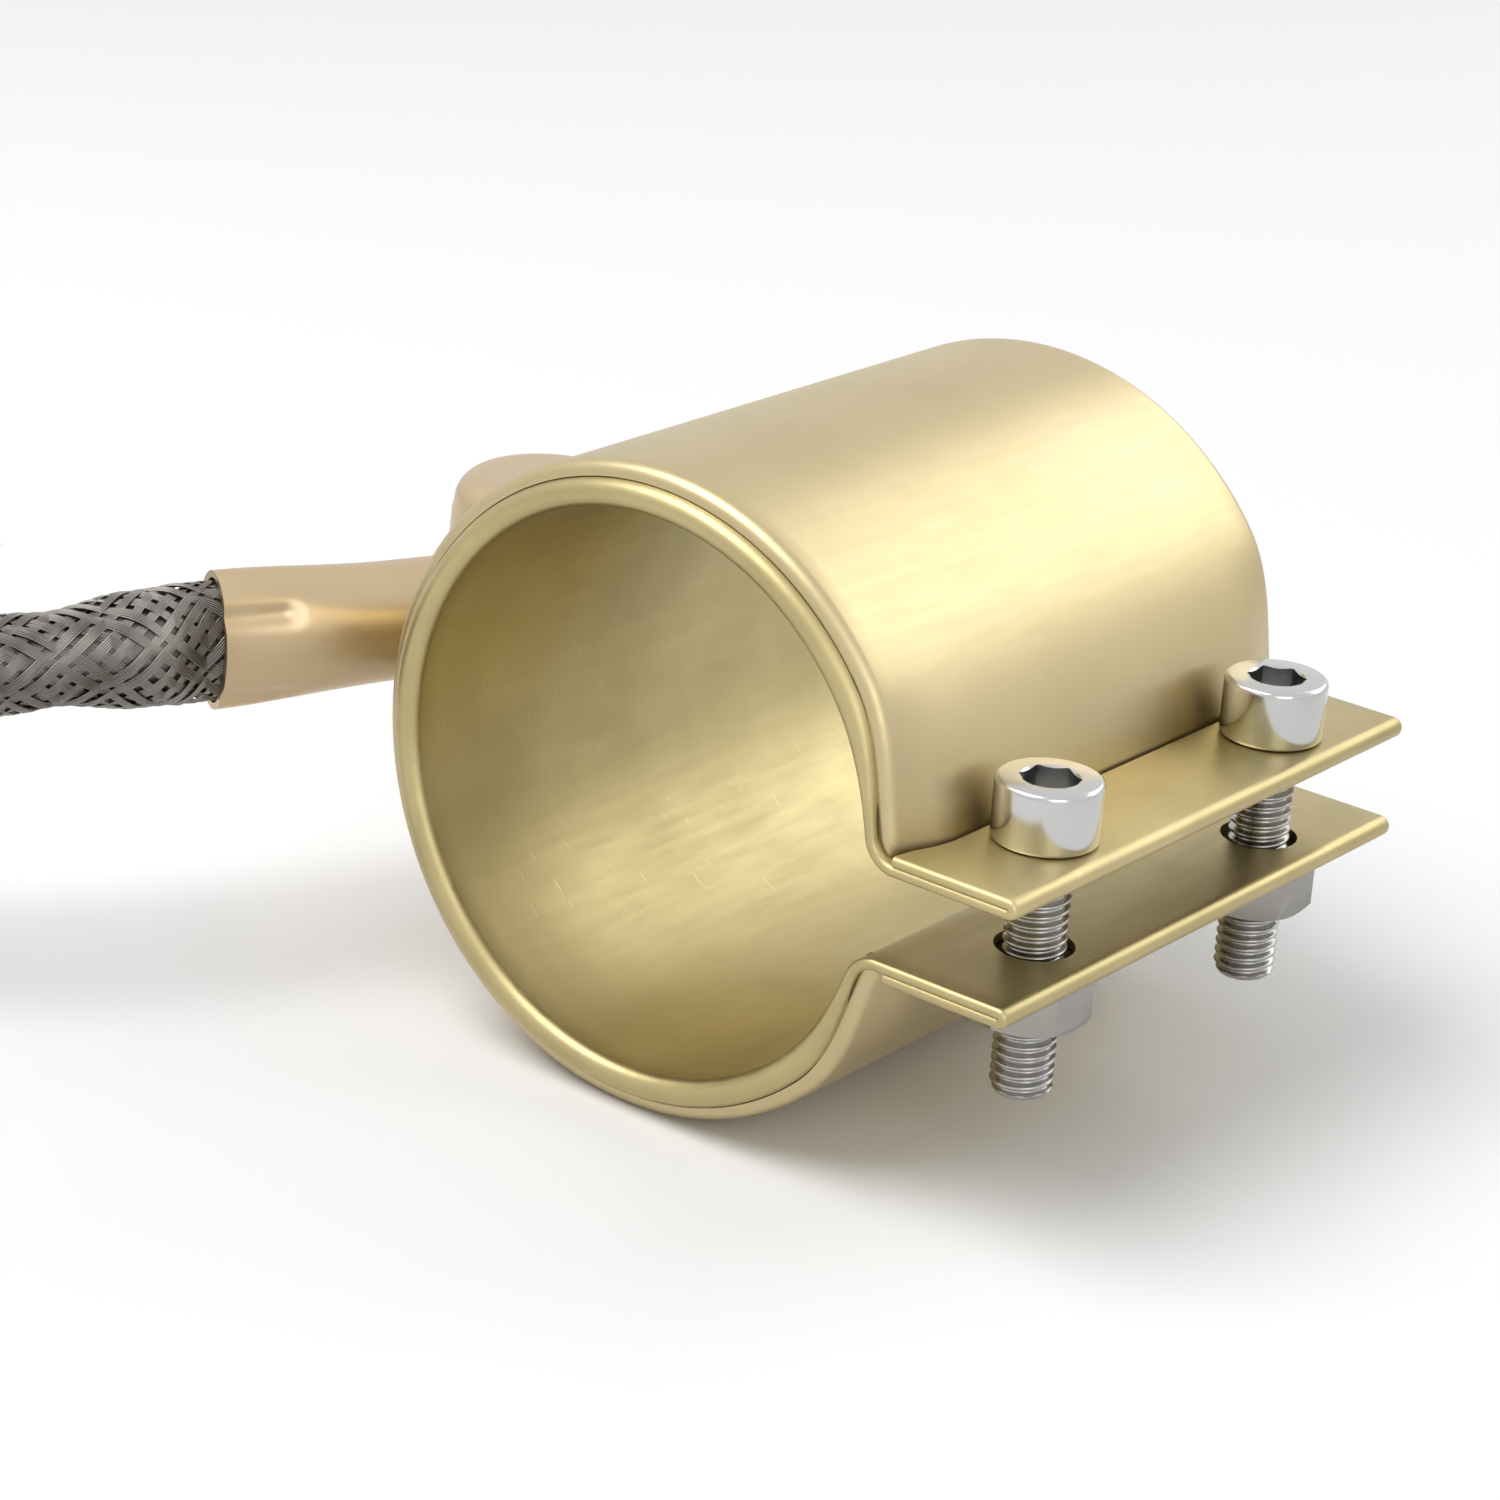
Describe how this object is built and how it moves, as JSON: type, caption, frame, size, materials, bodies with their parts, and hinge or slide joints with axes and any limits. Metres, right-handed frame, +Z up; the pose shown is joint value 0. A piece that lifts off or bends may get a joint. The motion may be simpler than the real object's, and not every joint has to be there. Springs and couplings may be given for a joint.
{
  "type": "band heater",
  "caption": "Clamp-on brass band heater with hemmed flanges, socket cap screws and nuts, a drawn terminal hood and a braided lead leaving along the band.",
  "frame": {"origin": "centre of the clamping bore, half way along the band", "axes": "+Y along the bore axis, +X from the bore towards the clamp flanges, +Z up along the clamp screws"},
  "size_m": [0.2309, 0.1158, 0.0636],
  "materials": {
    "brass": "satin",
    "mica": "matte",
    "resistance_alloy": "satin",
    "ceramic": "matte",
    "steel_braid": "satin",
    "nickel": "satin",
    "zinc_screw": "polished",
    "zinc_nut": "satin",
    "glass_sleeving": "matte"
  },
  "bodies": {
    "heater": {"inner_sheath": "brass", "outer_skin": "brass", "inner_mica": "mica", "winding_former": "mica", "outer_mica": "mica", "resistance_ribbon": "resistance_alloy", "terminal_hood": "brass", "outlet_tube": "brass", "terminal_block": "ceramic", "braided_sleeve": "steel_braid", "braid_end_ferrule": "nickel", "terminal_pin_upper": "nickel", "terminal_pin_lower": "nickel", "pin_crimp_upper": "nickel", "pin_crimp_lower": "nickel", "lead_wire_upper": "glass_sleeving", "lead_wire_lower": "glass_sleeving", "lead_tip_upper": "nickel", "lead_tip_lower": "nickel"},
    "front_screw": {"clamp_screw_front": "zinc_screw"},
    "rear_screw": {"clamp_screw_rear": "zinc_screw"},
    "front_nut": {"clamp_nut_front": "zinc_nut"},
    "rear_nut": {"clamp_nut_rear": "zinc_nut"}
  },
  "joints": [
    {"name": "front_screw_turn", "type": "hinge", "parent": "heater", "child": "front_screw", "pos_m": [0.0372, -0.01875, 0.00395], "axis": [0, 0, 1], "range_deg": [0, 2520]},
    {"name": "front_nut_travel", "type": "slide", "parent": "heater", "child": "front_nut", "axis": [0, 0, -1], "range_m": [0, 0.007]},
    {"name": "rear_screw_turn", "type": "hinge", "parent": "heater", "child": "rear_screw", "pos_m": [0.0372, 0.01875, 0.00395], "axis": [0, 0, 1], "range_deg": [0, 2520]},
    {"name": "rear_nut_travel", "type": "slide", "parent": "heater", "child": "rear_nut", "axis": [0, 0, -1], "range_m": [0, 0.007]}
  ],
  "couplings": [
    {"joint": "front_nut_travel", "follows": "front_screw_turn", "m_per_rad": 0.00015915},
    {"joint": "rear_nut_travel", "follows": "rear_screw_turn", "m_per_rad": 0.00015915}
  ]
}
